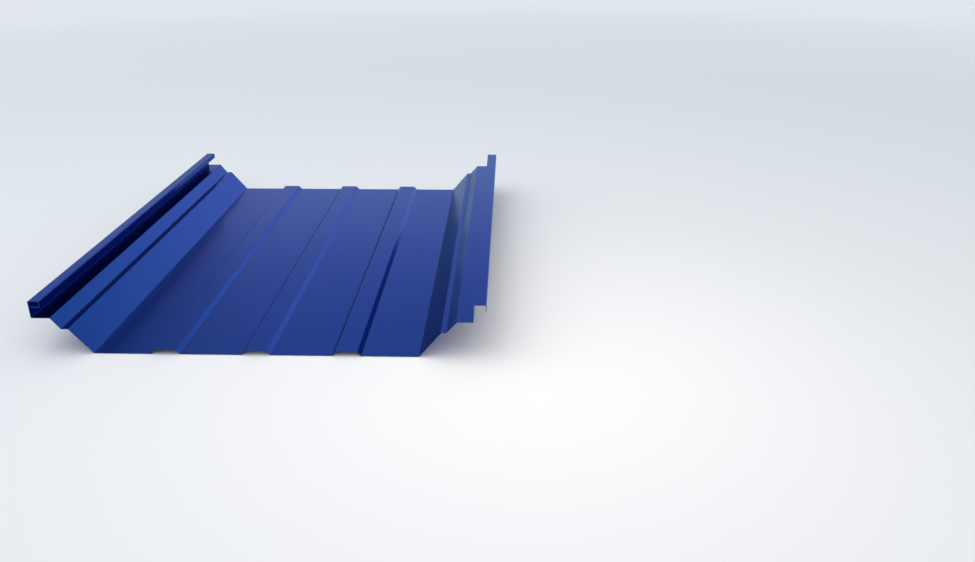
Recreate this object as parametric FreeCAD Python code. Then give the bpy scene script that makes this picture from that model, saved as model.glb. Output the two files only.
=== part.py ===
import FreeCAD, Part
import math
import os

# Standing seam roof panel, roll-formed from one strip of sheet steel.
# X runs across the panel, Y along it and Z up, in millimetres. The underside of the pan is at Z = 0.
# Heights and widths of the folds are taken between like faces of the sheet unless a comment says otherwise.

# Sheet and unit
COVER_WIDTH = 610.0  # from one seam line to the next, as laid
PANEL_LENGTH = 760.0
SHEET_THICKNESS = 0.8
BEND_RADIUS = 0.5  # inside radius of every fold

# Stepped sides, between the pan and the foot of each seam leg
SHOULDER_HEIGHT = 53.5
STEP_HEIGHT = 36.9
MALE_SHOULDER_WIDTH = 25.9  # flat ledge inside the leg
MALE_UPPER_RUN = 12.4
MALE_STEP_WIDTH = 9.9
MALE_LOWER_RUN = 29.9
FEMALE_SHOULDER_WIDTH = 22.3  # flat ledge inside the leg
FEMALE_UPPER_RUN = 15.3
FEMALE_STEP_WIDTH = 6.6
FEMALE_LOWER_RUN = 31.6

# Low ribs that stiffen the pan
RIB_COUNT = 3
RIB_PITCH = 126.7
RIB_HEIGHT = 6.3
RIB_TOP_WIDTH = 29.4
RIB_FLANK_RUN = 6.0

# Male hook, a box that the next panel's female hook drops over
MALE_RISE = 24.7  # from the shoulder to the top of the hook
MALE_HOOK_WIDTH = 16.0  # over the outside faces
MALE_HOOK_DEPTH = 9.6  # over the outside faces
MALE_RETURN_GAP = 1.0  # left open between the return's cut edge and the leg

# Fit of the female hook over the male one
SEAM_CLEARANCE = 0.25  # on each side and on top
LIP_OVERHANG = 0.6  # how far the female lip reaches below the male box

half_sheet = SHEET_THICKNESS / 2
mid_radius = BEND_RADIUS + half_sheet

# Stations across the panel, on the middle of the sheet's thickness
overall_width = COVER_WIDTH + MALE_HOOK_WIDTH + SEAM_CLEARANCE + SHEET_THICKNESS
male_seam = -overall_width / 2 - SEAM_CLEARANCE / 2
female_seam = male_seam + COVER_WIDTH
male_leg = male_seam + SEAM_CLEARANCE / 2 + half_sheet
female_leg = female_seam - SEAM_CLEARANCE / 2 - half_sheet
male_lip = male_leg + MALE_HOOK_WIDTH - SHEET_THICKNESS
female_lip = female_leg + MALE_HOOK_WIDTH + 2 * SEAM_CLEARANCE + SHEET_THICKNESS
return_edge = male_leg + half_sheet + MALE_RETURN_GAP

male_shoulder = male_leg + MALE_SHOULDER_WIDTH
female_shoulder = female_leg - FEMALE_SHOULDER_WIDTH
male_pan_edge = male_shoulder + MALE_UPPER_RUN + MALE_STEP_WIDTH + MALE_LOWER_RUN
female_pan_edge = female_shoulder - FEMALE_UPPER_RUN - FEMALE_STEP_WIDTH - FEMALE_LOWER_RUN
pan_middle = (male_pan_edge + female_pan_edge) / 2

# Levels, also on the middle of the thickness
pan_level = half_sheet
step_level = pan_level + STEP_HEIGHT
shoulder_level = pan_level + SHOULDER_HEIGHT
male_top = shoulder_level + MALE_RISE
male_return = male_top - MALE_HOOK_DEPTH + SHEET_THICKNESS
female_top = male_top + SHEET_THICKNESS + SEAM_CLEARANCE
female_lip_edge = male_return - half_sheet - LIP_OVERHANG


def side_corners(shoulder, upper_run, step_width, pan_edge):
    """Corners of one stepped side, from its shoulder down to the pan. The runs are negative towards -X."""
    return [
        (shoulder, shoulder_level),
        (shoulder + upper_run, step_level),
        (shoulder + upper_run + step_width, step_level),
        (pan_edge, pan_level),
    ]


def rib_corners(middle):
    """Corners of one low rib, from its left foot to its right foot."""
    half_top = RIB_TOP_WIDTH / 2
    half_base = half_top + RIB_FLANK_RUN
    return [
        (middle - half_base, pan_level),
        (middle - half_top, pan_level + RIB_HEIGHT),
        (middle + half_top, pan_level + RIB_HEIGHT),
        (middle + half_base, pan_level),
    ]


def section_face(corners):
    """Face of a sheet of even thickness, folded with round bends along a mid-line through the corners."""
    points = [FreeCAD.Vector(x, -PANEL_LENGTH / 2, z) for x, z in corners]
    runs = [(after - before).normalize() for before, after in zip(points, points[1:])]
    normals = [FreeCAD.Vector(-run.z, 0, run.x) for run in runs]
    folds = list(zip(points[1:], runs, runs[1:], normals, normals[1:]))

    # Each side of the sheet starts at the strip's first cut edge, and the normals point to side +1
    edges = []
    ends = {}
    for side in (1, -1):
        first = points[0] + normals[0] * (side * half_sheet)
        here = first
        for corner, run, next_run, normal, next_normal in folds:
            turn = 1 if normal.dot(next_run) > 0 else -1
            reach = mid_radius * math.tan(run.getAngle(next_run) / 2)
            bend_start = corner - run * reach
            bend_end = corner + next_run * reach
            centre = bend_start + normal * (turn * mid_radius)
            bisector = (normal + next_normal).normalize()
            arc_start = bend_start + normal * (side * half_sheet)
            arc_middle = centre - bisector * (turn * mid_radius - side * half_sheet)
            arc_end = bend_end + next_normal * (side * half_sheet)
            edges.append(Part.makeLine(here, arc_start))
            edges.append(Part.Arc(arc_start, arc_middle, arc_end).toShape())
            here = arc_end
        last = points[-1] + normals[-1] * (side * half_sheet)
        edges.append(Part.makeLine(here, last))
        ends[side] = (first, last)
    edges.append(Part.makeLine(ends[1][0], ends[-1][0]))
    edges.append(Part.makeLine(ends[1][1], ends[-1][1]))
    return Part.Face(Part.Wire(Part.__sortEdges__(edges)))


# Fold line by fold line, from the male return's cut edge to the female lip's cut edge
strip = [
    (return_edge, male_return),
    (male_lip, male_return),
    (male_lip, male_top),
    (male_leg, male_top),
    (male_leg, shoulder_level),
]
strip += side_corners(male_shoulder, MALE_UPPER_RUN, MALE_STEP_WIDTH, male_pan_edge)
for number in range(RIB_COUNT):
    strip += rib_corners(pan_middle + (number - (RIB_COUNT - 1) / 2) * RIB_PITCH)
strip += reversed(side_corners(female_shoulder, -FEMALE_UPPER_RUN, -FEMALE_STEP_WIDTH, female_pan_edge))
strip += [
    (female_leg, shoulder_level),
    (female_leg, female_top),
    (female_lip, female_top),
    (female_lip, female_lip_edge),
]

panel_sheet = section_face(strip).extrude(FreeCAD.Vector(0, PANEL_LENGTH, 0))
os.makedirs("parts", exist_ok=True)
panel_sheet.exportStep("parts/panel_sheet.step")
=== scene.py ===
import math

import bmesh
import bpy
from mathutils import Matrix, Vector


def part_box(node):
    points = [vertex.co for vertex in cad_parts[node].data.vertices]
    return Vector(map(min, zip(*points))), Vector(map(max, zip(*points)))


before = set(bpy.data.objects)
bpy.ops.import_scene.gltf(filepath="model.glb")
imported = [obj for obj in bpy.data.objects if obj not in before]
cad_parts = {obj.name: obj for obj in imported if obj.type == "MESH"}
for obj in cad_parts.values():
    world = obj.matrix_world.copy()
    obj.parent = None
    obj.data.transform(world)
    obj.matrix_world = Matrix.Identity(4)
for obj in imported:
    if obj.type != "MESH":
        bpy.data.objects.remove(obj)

scene = bpy.context.scene
scene.view_settings.view_transform = "Standard"
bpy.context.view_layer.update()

# Roof panel: one strip of zinc-coated steel, coil-painted satin metallic blue on both faces, then rolled.
# Roll-forming folds it into a ribbed pan, stepped sides and a seam hook along each long edge.
# Shears cut it to length and drag zinc and paint over the cut edges, so these are a dull grey-blue.
panel_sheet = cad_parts["panel_sheet"]
panel_low, panel_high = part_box("panel_sheet")
SHEET_THICKNESS = 0.0008
SEAM_CLEARANCE = 0.00025
MALE_HOOK_WIDTH = 0.0160
MALE_HOOK_DEPTH = 0.0096

PAINT_BLUE = (0.001, 0.051, 0.319, 1.0)
PAINT_DEEP_BLUE = (0.0009, 0.046, 0.292, 1.0)
FLAKE_BLUE = (0.004, 0.074, 0.373, 1.0)
CUT_EDGE_BLUE = (0.020, 0.038, 0.128, 1.0)
BOX_BLUE = (0.004, 0.035, 0.32, 1.0)
GRAZING_BLUE = (0.30, 0.43, 0.59, 1.0)
CLEAR_COAT_WEIGHT = 0.245
CLEAR_COAT_ROUGHNESS = 0.17

paint = bpy.data.materials.new("satin_blue_paint")
paint.use_nodes = True
paint_tree = paint.node_tree
paint_shader = paint_tree.nodes["Principled BSDF"]
paint_shader.inputs["Specular Tint"].default_value = GRAZING_BLUE
paint_shader.inputs["Coat Weight"].default_value = CLEAR_COAT_WEIGHT
paint_shader.inputs["Coat Roughness"].default_value = CLEAR_COAT_ROUGHNESS


def add_node(tree, kind, settings=None, **links):
    """A new node with the input values in settings, and a link into the input that each keyword names."""
    node = tree.nodes.new(kind)
    for name, value in (settings or {}).items():
        node.inputs[name].default_value = value
    for name, source in links.items():
        tree.links.new(source, node.inputs[name])
    return node


def calculate(tree, operation, first, second=0.0):
    """The output of a Math node on a socket, or on a socket and a second socket or number."""
    node = tree.nodes.new("ShaderNodeMath")
    node.operation = operation
    tree.links.new(first, node.inputs[0])
    if isinstance(second, float):
        node.inputs[1].default_value = second
    else:
        tree.links.new(second, node.inputs[1])
    return node.outputs[0]


def mix_colors(tree, share, first, second):
    """The output of a Mix node between two colours, each a socket or a value, by a share in a socket."""
    node = tree.nodes.new("ShaderNodeMix")
    node.data_type = "RGBA"
    tree.links.new(share, node.inputs["Factor"])
    for name, colour in (("A", first), ("B", second)):
        socket = [s for s in node.inputs if s.name == name and s.type == "RGBA"][0]
        if isinstance(colour, tuple):
            socket.default_value = colour
        else:
            tree.links.new(colour, socket)
    return [s for s in node.outputs if s.type == "RGBA"][0]


def within(tree, value, low, high):
    """One where the value in a socket lies between two numbers, and zero elsewhere."""
    above = calculate(tree, "GREATER_THAN", value, low)
    below = calculate(tree, "LESS_THAN", value, high)
    return calculate(tree, "MULTIPLY", above, below)


def grey(level):
    """An opaque grey of this level."""
    return (level, level, level, 1.0)


def set_stops(ramp, stops):
    """Give a new Color Ramp node its stops, in rising order. It comes with two, and the rest are added."""
    elements = ramp.color_ramp.elements
    ready = len(elements)
    for number, (position, colour) in enumerate(stops):
        stop = elements[number] if number < ready else elements.new(position)
        stop.position = position
        stop.color = colour


coordinates = paint_tree.nodes.new("ShaderNodeTexCoord")
place = coordinates.outputs["Object"]
point = add_node(paint_tree, "ShaderNodeSeparateXYZ", Vector=place)
facing = add_node(paint_tree, "ShaderNodeSeparateXYZ", Vector=coordinates.outputs["Normal"])

# The colour coat drifts a little in depth over a few hundred millimetres
DRIFT_PER_METRE = 3.5
drift_size = {"Scale": DRIFT_PER_METRE, "Detail": 2.0}
drift = add_node(paint_tree, "ShaderNodeTexNoise", drift_size, Vector=place)
colour = mix_colors(paint_tree, drift.outputs[0], PAINT_DEEP_BLUE, PAINT_BLUE)

# Metal flakes under the clear top of the paint, under half a millimetre across, differ a little in blue
FLAKES_PER_METRE = 2600.0
FLAKE_SHARE = 0.10
flakes = add_node(paint_tree, "ShaderNodeTexVoronoi", {"Scale": FLAKES_PER_METRE}, Vector=place)
flake_tone = add_node(paint_tree, "ShaderNodeSeparateXYZ", Vector=flakes.outputs["Color"])
flake_share = calculate(paint_tree, "MULTIPLY", flake_tone.outputs["X"], FLAKE_SHARE)
colour = mix_colors(paint_tree, flake_share, colour, FLAKE_BLUE)

# The rolls leave faint lines along the panel, up to a few millimetres wide and very long
ROLL_LINES_PER_METRE = (420.0, 2.5, 420.0)
roll_space = add_node(paint_tree, "ShaderNodeMapping", {"Scale": ROLL_LINES_PER_METRE}, Vector=place)
roll_size = {"Scale": 1.0, "Detail": 3.0}
roll_lines = add_node(paint_tree, "ShaderNodeTexNoise", roll_size, Vector=roll_space.outputs[0])

# On the folds the film is stretched. A leg faces up by nothing, a slope by about two thirds and a flat
# by one, so whatever faces up by an amount in between is on a fold
LEG_UP = 0.02
SLOPE_UP_LEAST = 0.58
SLOPE_UP_MOST = 0.76
FLAT_UP = 0.995
FOLD_BLUR = 0.03
faces_up = calculate(paint_tree, "ABSOLUTE", facing.outputs["Z"])
fold_ramp = add_node(paint_tree, "ShaderNodeValToRGB", Fac=faces_up)
set_stops(fold_ramp, (
    (LEG_UP, grey(0.0)),
    (LEG_UP + FOLD_BLUR, grey(1.0)),
    (SLOPE_UP_LEAST - FOLD_BLUR, grey(1.0)),
    (SLOPE_UP_LEAST, grey(0.0)),
    (SLOPE_UP_MOST, grey(0.0)),
    (SLOPE_UP_MOST + FOLD_BLUR, grey(1.0)),
    (FLAT_UP - FOLD_BLUR, grey(1.0)),
    (FLAT_UP, grey(0.0)),
))
fold = fold_ramp.outputs["Color"]

# Cut edges: the two sheared ends, the female lip's edge and the male return's edge, told by where they face
CUT_FACING = 0.9
LIP_BAND = 1.5 * SHEET_THICKNESS
RETURN_NEAR = 1.2 * SHEET_THICKNESS
RETURN_FAR = 4.0 * SHEET_THICKNESS
faces_along = calculate(paint_tree, "ABSOLUTE", facing.outputs["Y"])
end_cut = calculate(paint_tree, "GREATER_THAN", faces_along, CUT_FACING)
faces_down = calculate(paint_tree, "LESS_THAN", facing.outputs["Z"], -CUT_FACING)
on_lip = calculate(paint_tree, "GREATER_THAN", point.outputs["X"], panel_high.x - LIP_BAND)
lip_cut = calculate(paint_tree, "MULTIPLY", faces_down, on_lip)
faces_leg = calculate(paint_tree, "LESS_THAN", facing.outputs["X"], -CUT_FACING)
by_leg = within(paint_tree, point.outputs["X"], panel_low.x + RETURN_NEAR, panel_low.x + RETURN_FAR)
return_cut = calculate(paint_tree, "MULTIPLY", faces_leg, by_leg)
side_cut = calculate(paint_tree, "MAXIMUM", lip_cut, return_cut)
cut = calculate(paint_tree, "MAXIMUM", end_cut, side_cut)
colour = mix_colors(paint_tree, cut, colour, CUT_EDGE_BLUE)

# Inside the closed male box the rolls never touch the film, so it stays matt and dark there.
# The box fits under a female hook's top, and its inside begins halfway through its sheet
BOX_METALLIC = 0.05
HALF_SHEET = SHEET_THICKNESS / 2
box_left = panel_low.x + HALF_SHEET
box_right = panel_low.x + MALE_HOOK_WIDTH - HALF_SHEET
male_hook_top = panel_high.z - SHEET_THICKNESS - SEAM_CLEARANCE
box_top = male_hook_top - HALF_SHEET
box_bottom = male_hook_top - MALE_HOOK_DEPTH + HALF_SHEET
box_across = within(paint_tree, point.outputs["X"], box_left, box_right)
box_up = within(paint_tree, point.outputs["Z"], box_bottom, box_top)
box_space = calculate(paint_tree, "MULTIPLY", box_across, box_up)
box_less_cut = calculate(paint_tree, "SUBTRACT", box_space, cut)
in_box = calculate(paint_tree, "GREATER_THAN", box_less_cut, 0.0)
colour = mix_colors(paint_tree, in_box, colour, BOX_BLUE)
paint_tree.links.new(colour, paint_shader.inputs["Base Color"])
box_metallic_change = calculate(paint_tree, "MULTIPLY", in_box, BOX_METALLIC - 1.0)
metallic = calculate(paint_tree, "ADD", box_metallic_change, 1.0)
paint_tree.links.new(metallic, paint_shader.inputs["Metallic"])

# Roughness: satin on the flats, a little duller on roll lines and folds, dull on cut edges and in the box.
# The pattern of the roll lines averages one half, so half of what they add is taken off the flats
FLAT_ROUGHNESS = 0.25
LINE_ROUGHNESS = 0.04
FOLD_ROUGHNESS = 0.05
DULL_ROUGHNESS = 0.25
dull = calculate(paint_tree, "MAXIMUM", cut, in_box)
roughness = calculate(paint_tree, "MULTIPLY", roll_lines.outputs[0], LINE_ROUGHNESS)
roughness = calculate(paint_tree, "ADD", roughness, FLAT_ROUGHNESS - LINE_ROUGHNESS / 2)
for region, added_roughness in ((fold, FOLD_ROUGHNESS), (dull, DULL_ROUGHNESS)):
    added = calculate(paint_tree, "MULTIPLY", region, added_roughness)
    roughness = calculate(paint_tree, "ADD", roughness, added)
paint_tree.links.new(roughness, paint_shader.inputs["Roughness"])

# Relief: the soft orange-peel ripple of a baked film, with the roll lines over it
RIPPLES_PER_METRE = 260.0
RIPPLE_HEIGHT = 0.000006
ROLL_LINE_SHARE = 0.25
ripple_size = {"Scale": RIPPLES_PER_METRE, "Detail": 1.0}
ripple = add_node(paint_tree, "ShaderNodeTexNoise", ripple_size, Vector=place)
line_relief = calculate(paint_tree, "MULTIPLY", roll_lines.outputs[0], ROLL_LINE_SHARE)
relief = calculate(paint_tree, "ADD", ripple.outputs[0], line_relief)
bump_size = {"Strength": 1.0, "Distance": RIPPLE_HEIGHT}
bump = add_node(paint_tree, "ShaderNodeBump", bump_size, Height=relief)
paint_tree.links.new(bump.outputs[0], paint_shader.inputs["Normal"])
panel_sheet.material_slots[0].material = paint

# Floor: a wide, pale, matt sheet that the panel lies on.
# Its colour is a painted pool of light: white in front of the panel, turning to a cool grey around it, and
# painted lighter again further out until it fades to white.
FLOOR_REACH = 30.0
FLOOR_DROP = 0.0005
FLOOR_ROUGHNESS = 0.9
FLOOR_SPECULAR = 0.1
# Middle of the pool of light that is painted into the floor's colour
PAINTED_LIGHT_POOL_CENTRE = (0.40, -0.44, 0.0)

# Painted light on the floor: its tones, by the distance in metres from the middle of the painted pool of
# light
FLOOR_PAINTED_LIGHT_TONES = (
    (0.0, (0.93, 0.92, 0.92, 1.0)),
    (0.3, (0.81, 0.82, 0.84, 1.0)),
    (0.6, (0.71, 0.73, 0.77, 1.0)),
    (1.0, (0.66, 0.70, 0.74, 1.0)),
    (1.9, (0.60, 0.66, 0.70, 1.0)),
    (2.8, (0.62, 0.68, 0.73, 1.0)),
    (4.5, (0.69, 0.75, 0.81, 1.0)),
    (14.0, (0.95, 0.95, 0.95, 1.0)),
    (20.0, (0.96, 0.96, 0.96, 1.0)),
)

floor_mesh = bpy.data.meshes.new("floor")
floor_shape = bmesh.new()
bmesh.ops.create_grid(floor_shape, x_segments=1, y_segments=1, size=FLOOR_REACH)
bmesh.ops.translate(floor_shape, verts=floor_shape.verts, vec=(0, 0, panel_low.z - FLOOR_DROP))
floor_shape.to_mesh(floor_mesh)
floor_shape.free()
floor = bpy.data.objects.new("floor", floor_mesh)
scene.collection.objects.link(floor)


def measure_vector(tree, operation, vector, other):
    """The number that a Vector Math node gives for a vector in a socket and another, constant one."""
    node = tree.nodes.new("ShaderNodeVectorMath")
    node.operation = operation
    tree.links.new(vector, node.inputs[0])
    node.inputs[1].default_value = other
    return node.outputs["Value"]


floor_paint = bpy.data.materials.new("pale_floor")
floor_paint.use_nodes = True
floor_tree = floor_paint.node_tree
floor_shader = floor_tree.nodes["Principled BSDF"]
floor_shader.inputs["Roughness"].default_value = FLOOR_ROUGHNESS
floor_shader.inputs["Specular IOR Level"].default_value = FLOOR_SPECULAR
floor_place = floor_tree.nodes.new("ShaderNodeTexCoord").outputs["Object"]
# Painted pool of light: the floor's colour is lightest at the spot and changes with the distance from it
from_light_pool_centre = measure_vector(floor_tree, "DISTANCE", floor_place, PAINTED_LIGHT_POOL_CENTRE)
painted_light_reach = FLOOR_PAINTED_LIGHT_TONES[-1][0]
painted_light_position = calculate(floor_tree, "DIVIDE", from_light_pool_centre, painted_light_reach)
floor_painted_light = add_node(floor_tree, "ShaderNodeValToRGB", Fac=painted_light_position)
floor_painted_light.color_ramp.interpolation = "B_SPLINE"
set_stops(floor_painted_light, [(distance / painted_light_reach, tone) for distance, tone in FLOOR_PAINTED_LIGHT_TONES])
floor_tree.links.new(floor_painted_light.outputs["Color"], floor_shader.inputs["Base Color"])
floor_mesh.materials.append(floor_paint)

# Light: a white studio dome with a bright band low behind the panel, a dim band above it and a bright top.
# A dim screen leans in it at the left, the right is dimmer than the left, and behind the camera it is even.
# One broad soft box high on the left gives the panel's shadow a direction.
DOME_STRENGTH = 1.8

# Brightness of each part of the dome, by the elevation in degrees
LEFT_LEVELS = (
    (2, 1.25), (5, 0.9), (7, 0.35), (10, 0.35), (12, 0.6), (14, 1.75),
    (18, 1.75), (22, 0.85), (26, 0.7), (31, 0.7), (40, 0.8), (60, 1.05),
)
SCREEN_LEVELS = (
    (2, 1.25), (5, 0.9), (7, 0.35), (10, 0.35), (12, 0.6), (14, 1.75),
    (17, 1.3), (20, 0.15), (24, 0.0), (31, 0.05), (40, 0.6), (60, 1.05),
)
MIDDLE_LEVELS = (
    (2, 1.45), (6, 1.55), (10, 1.4), (14, 1.7), (18, 1.4),
    (22, 0.95), (26, 0.7), (31, 0.65), (40, 0.8), (60, 1.05),
)
RIGHT_LEVELS = (
    (2, 1.25), (6, 1.35), (10, 1.0), (18, 1.05),
    (22, 0.6), (26, 0.3), (31, 0.4), (40, 0.65), (60, 1.05),
)
CAMERA_SIDE_LEVELS = ((2, 1.1), (40, 1.1), (60, 1.05))

# The parts fade into each other between these values of a direction of length one, along X, along Y or,
# for the sides of the screen, along a slant, because the screen leans to the left with height
SCREEN_SLANT = (1.0, 0.0, 0.77)
SCREEN_LEFT_SIDE = (-0.14, -0.11)
SCREEN_RIGHT_SIDE = (-0.062, -0.042)
LEFT_TO_MIDDLE = (-0.17, 0.03)
MIDDLE_TO_RIGHT = (0.31, 0.51)
CAMERA_SIDE_TO_BACK = (0.10, 0.42)

world = bpy.data.worlds.new("studio")
scene.world = world
world.use_nodes = True
dome_tree = world.node_tree
direction = dome_tree.nodes.new("ShaderNodeTexCoord").outputs["Generated"]
toward = add_node(dome_tree, "ShaderNodeSeparateXYZ", Vector=direction)
slanted = measure_vector(dome_tree, "DOT_PRODUCT", direction, SCREEN_SLANT)


def dome_part(levels):
    """The colour of one part of the dome, with these levels at these elevations."""
    stops = []
    for elevation, level in levels:
        stops.append((math.sin(math.radians(elevation)), grey(level / DOME_STRENGTH)))
    ramp = add_node(dome_tree, "ShaderNodeValToRGB", Fac=toward.outputs["Z"])
    set_stops(ramp, stops)
    return ramp.outputs["Color"]


def cross_fade(value, limits, first, second):
    """Two parts of the dome, faded from the first to the second as a value goes from limit to limit."""
    low, high = limits
    share = add_node(dome_tree, "ShaderNodeMapRange", {"From Min": low, "From Max": high}, Value=value)
    return mix_colors(dome_tree, share.outputs[0], first, second)


left = dome_part(LEFT_LEVELS)
back = cross_fade(slanted, SCREEN_LEFT_SIDE, left, dome_part(SCREEN_LEVELS))
back = cross_fade(slanted, SCREEN_RIGHT_SIDE, back, left)
back = cross_fade(toward.outputs["X"], LEFT_TO_MIDDLE, back, dome_part(MIDDLE_LEVELS))
back = cross_fade(toward.outputs["X"], MIDDLE_TO_RIGHT, back, dome_part(RIGHT_LEVELS))
dome = cross_fade(toward.outputs["Y"], CAMERA_SIDE_TO_BACK, dome_part(CAMERA_SIDE_LEVELS), back)
background = dome_tree.nodes["Background"]
dome_tree.links.new(dome, background.inputs["Color"])
background.inputs["Strength"].default_value = DOME_STRENGTH

SOFT_BOX_SIZE = 2.4
SOFT_BOX_WATTS = 13.0
SOFT_BOX_PLACE = (-1.1, -0.2, 2.2)
SOFT_BOX_TURN_DEGREES = (4.7, -26.6, 0.0)
soft_box_light = bpy.data.lights.new("soft_box", "AREA")
soft_box_light.size = SOFT_BOX_SIZE
soft_box_light.energy = SOFT_BOX_WATTS
soft_box = bpy.data.objects.new("soft_box", soft_box_light)
soft_box.location = SOFT_BOX_PLACE
soft_box.rotation_euler = [math.radians(angle) for angle in SOFT_BOX_TURN_DEGREES]
scene.collection.objects.link(soft_box)

# Camera: at the photograph's viewing angle, with the same lens.
# It stands in front of the panel, to the right of its middle, and looks down along the ribs.
SENSOR_WIDTH_MM = 36.0
LENS_MM = 31.947
CAMERA_PLACE = (0.3441, -1.43295, 0.57589)
CAMERA_TURN_DEGREES = (66.3948, 0.0985, 1.5336)
camera_body = bpy.data.cameras.new("camera")
camera_body.sensor_width = SENSOR_WIDTH_MM
camera_body.lens = LENS_MM
camera_body.clip_start = 0.01
camera_body.clip_end = 100.0
camera = bpy.data.objects.new("camera", camera_body)
camera.location = CAMERA_PLACE
camera.rotation_euler = [math.radians(angle) for angle in CAMERA_TURN_DEGREES]
scene.collection.objects.link(camera)
scene.camera = camera
